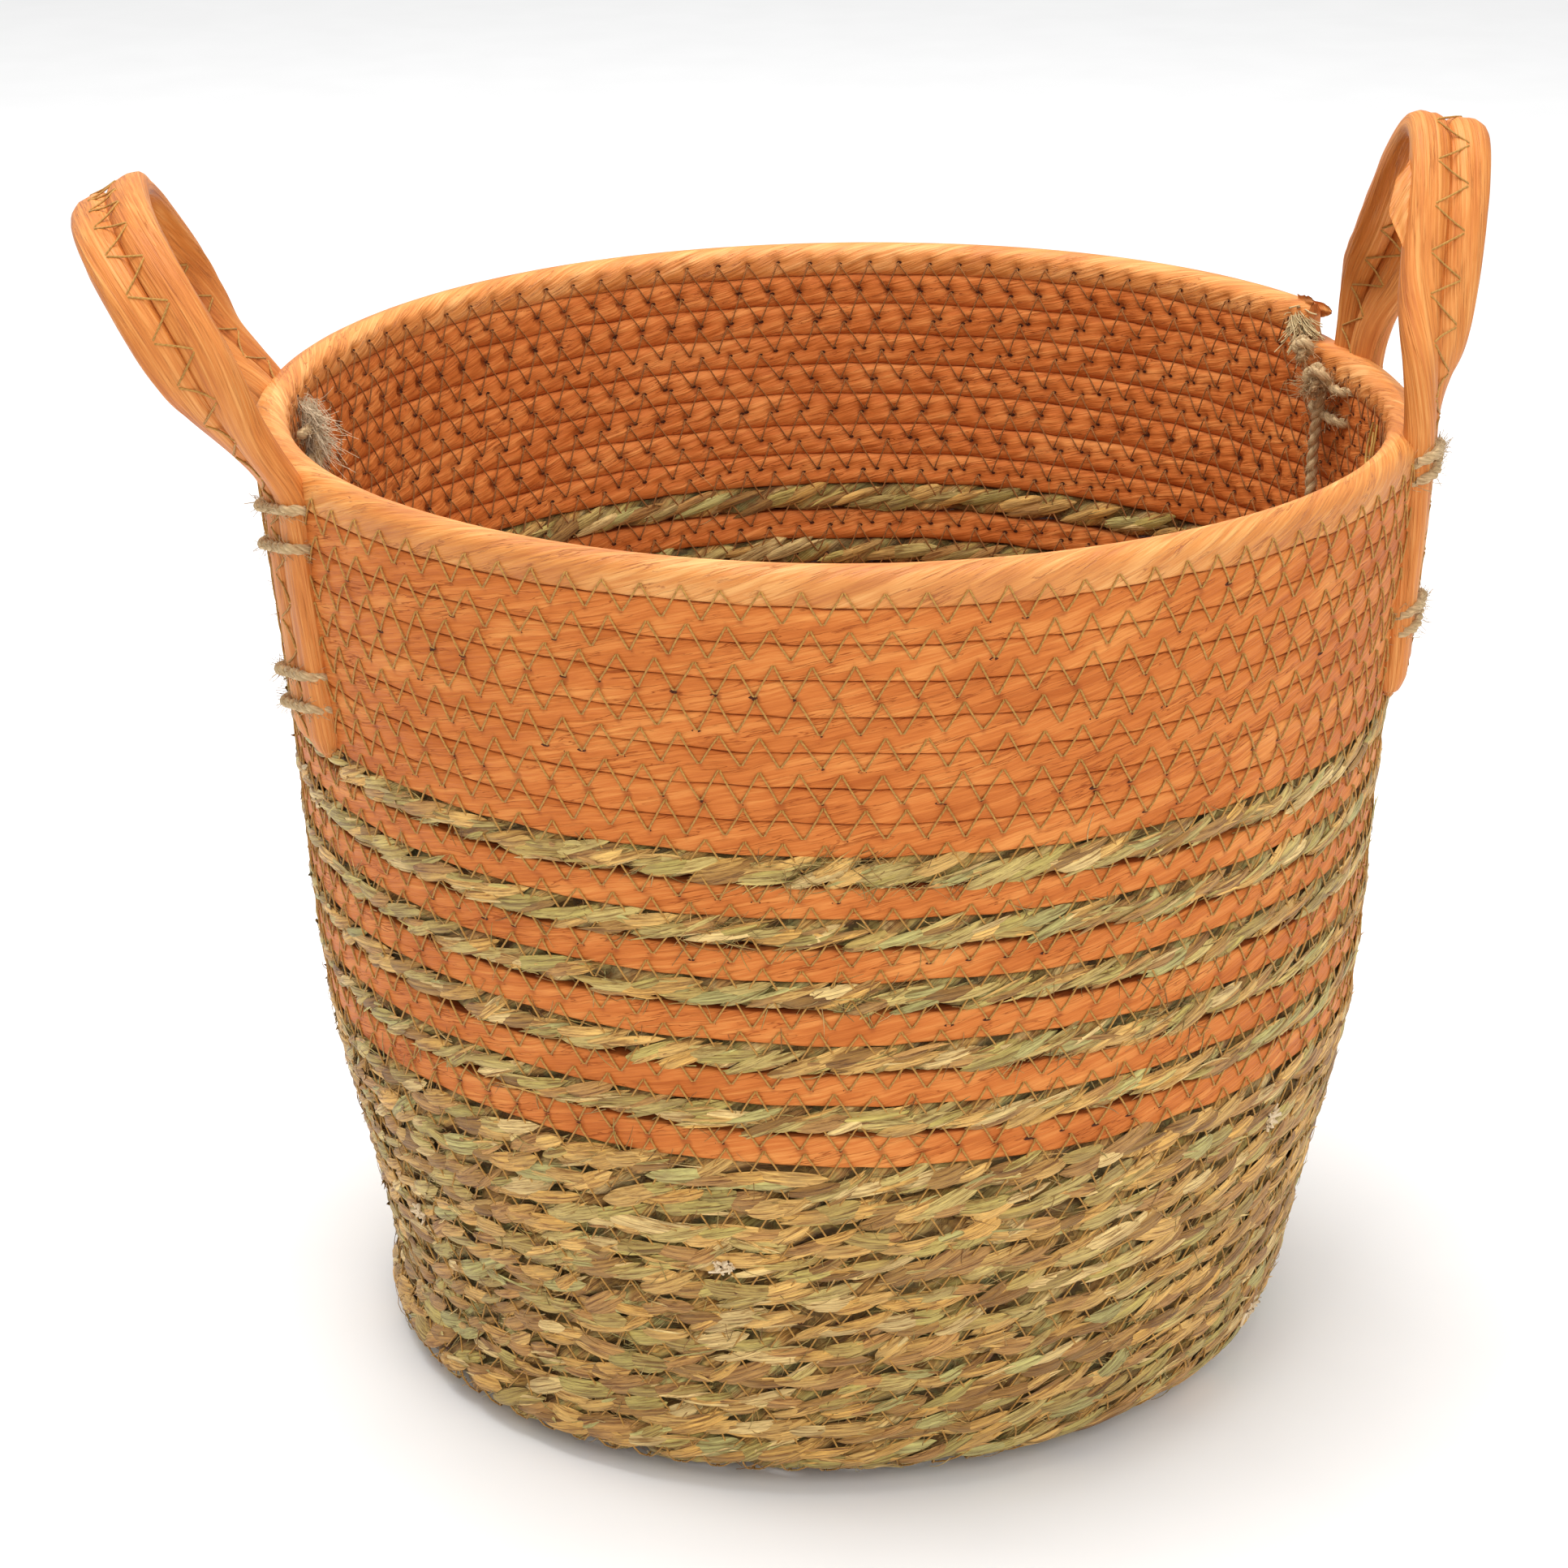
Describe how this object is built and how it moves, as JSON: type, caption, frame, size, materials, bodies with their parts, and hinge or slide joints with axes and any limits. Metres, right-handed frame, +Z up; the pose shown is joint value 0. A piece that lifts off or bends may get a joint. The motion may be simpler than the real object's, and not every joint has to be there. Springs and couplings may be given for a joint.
{
  "type": "coiled rope basket",
  "caption": "Round market basket coiled from grass rope and paper-wrapped rope, sewn with zig-zag thread, with a flat base and side handles that lean in and out.",
  "frame": {"origin": "middle of the flat base, on the surface it stands on", "axes": "+Z up out of the mouth, +X towards the right handle, -Y towards the front"},
  "size_m": [0.3222, 0.2702, 0.2955],
  "materials": {
    "grass_rope": "matt twisted dried grass, green-grey to tan and brown",
    "orange_paper": "matt creased paper wrapped on the slant",
    "straw_core": "matt pale straw",
    "sewing_thread": "twisted olive-brown thread",
    "jute_twine": "hairy two-ply natural jute"
  },
  "bodies": {
    "basket": {"grass_base_and_wall_rope": "grass_rope", "grass_stripe_rope_1": "grass_rope", "orange_stripe_wrap_1": "orange_paper", "orange_stripe_core_1": "straw_core", "grass_stripe_rope_2": "grass_rope", "orange_stripe_wrap_2": "orange_paper", "orange_stripe_core_2": "straw_core", "grass_stripe_rope_3": "grass_rope", "orange_stripe_wrap_3": "orange_paper", "orange_stripe_core_3": "straw_core", "grass_stripe_rope_4": "grass_rope", "orange_stripe_wrap_4": "orange_paper", "orange_stripe_core_4": "straw_core", "grass_stripe_rope_5": "grass_rope", "orange_stripe_wrap_5": "orange_paper", "orange_stripe_core_5": "straw_core", "upper_rope_wrap": "orange_paper", "upper_rope_core": "straw_core", "rim_rope_wrap": "orange_paper", "rim_rope_core": "straw_core", "zigzag_stitching": "sewing_thread", "right_front_leg_wraps": "orange_paper", "right_front_leg_cores": "straw_core", "right_front_leg_seam": "sewing_thread", "right_front_twine_lashing": "jute_twine", "right_rear_leg_wraps": "orange_paper", "right_rear_leg_cores": "straw_core", "right_rear_leg_seam": "sewing_thread", "right_rear_twine_lashing": "jute_twine", "left_front_leg_wraps": "orange_paper", "left_front_leg_cores": "straw_core", "left_front_leg_seam": "sewing_thread", "left_front_twine_lashing": "jute_twine", "left_rear_leg_wraps": "orange_paper", "left_rear_leg_cores": "straw_core", "left_rear_leg_seam": "sewing_thread", "left_rear_twine_lashing": "jute_twine"},
    "left_handle": {"left_loop_inner_rope_wrap": "orange_paper", "left_loop_inner_rope_core": "straw_core", "left_loop_outer_rope_wrap": "orange_paper", "left_loop_outer_rope_core": "straw_core", "left_loop_seam": "sewing_thread"},
    "right_handle": {"right_loop_inner_rope_wrap": "orange_paper", "right_loop_inner_rope_core": "straw_core", "right_loop_outer_rope_wrap": "orange_paper", "right_loop_outer_rope_core": "straw_core", "right_loop_seam": "sewing_thread"}
  },
  "joints": [
    {"name": "right_handle_lean", "type": "hinge", "parent": "basket", "child": "right_handle", "pos_m": [0.13402, -0.01314, 0.2365], "axis": [0.0976, 0.9952, 0], "range_deg": [-45, 60]},
    {"name": "left_handle_lean", "type": "hinge", "parent": "basket", "child": "left_handle", "pos_m": [-0.13448, -0.00705, 0.2365], "axis": [0.0523, -0.9986, 0], "range_deg": [-65, 40]}
  ]
}
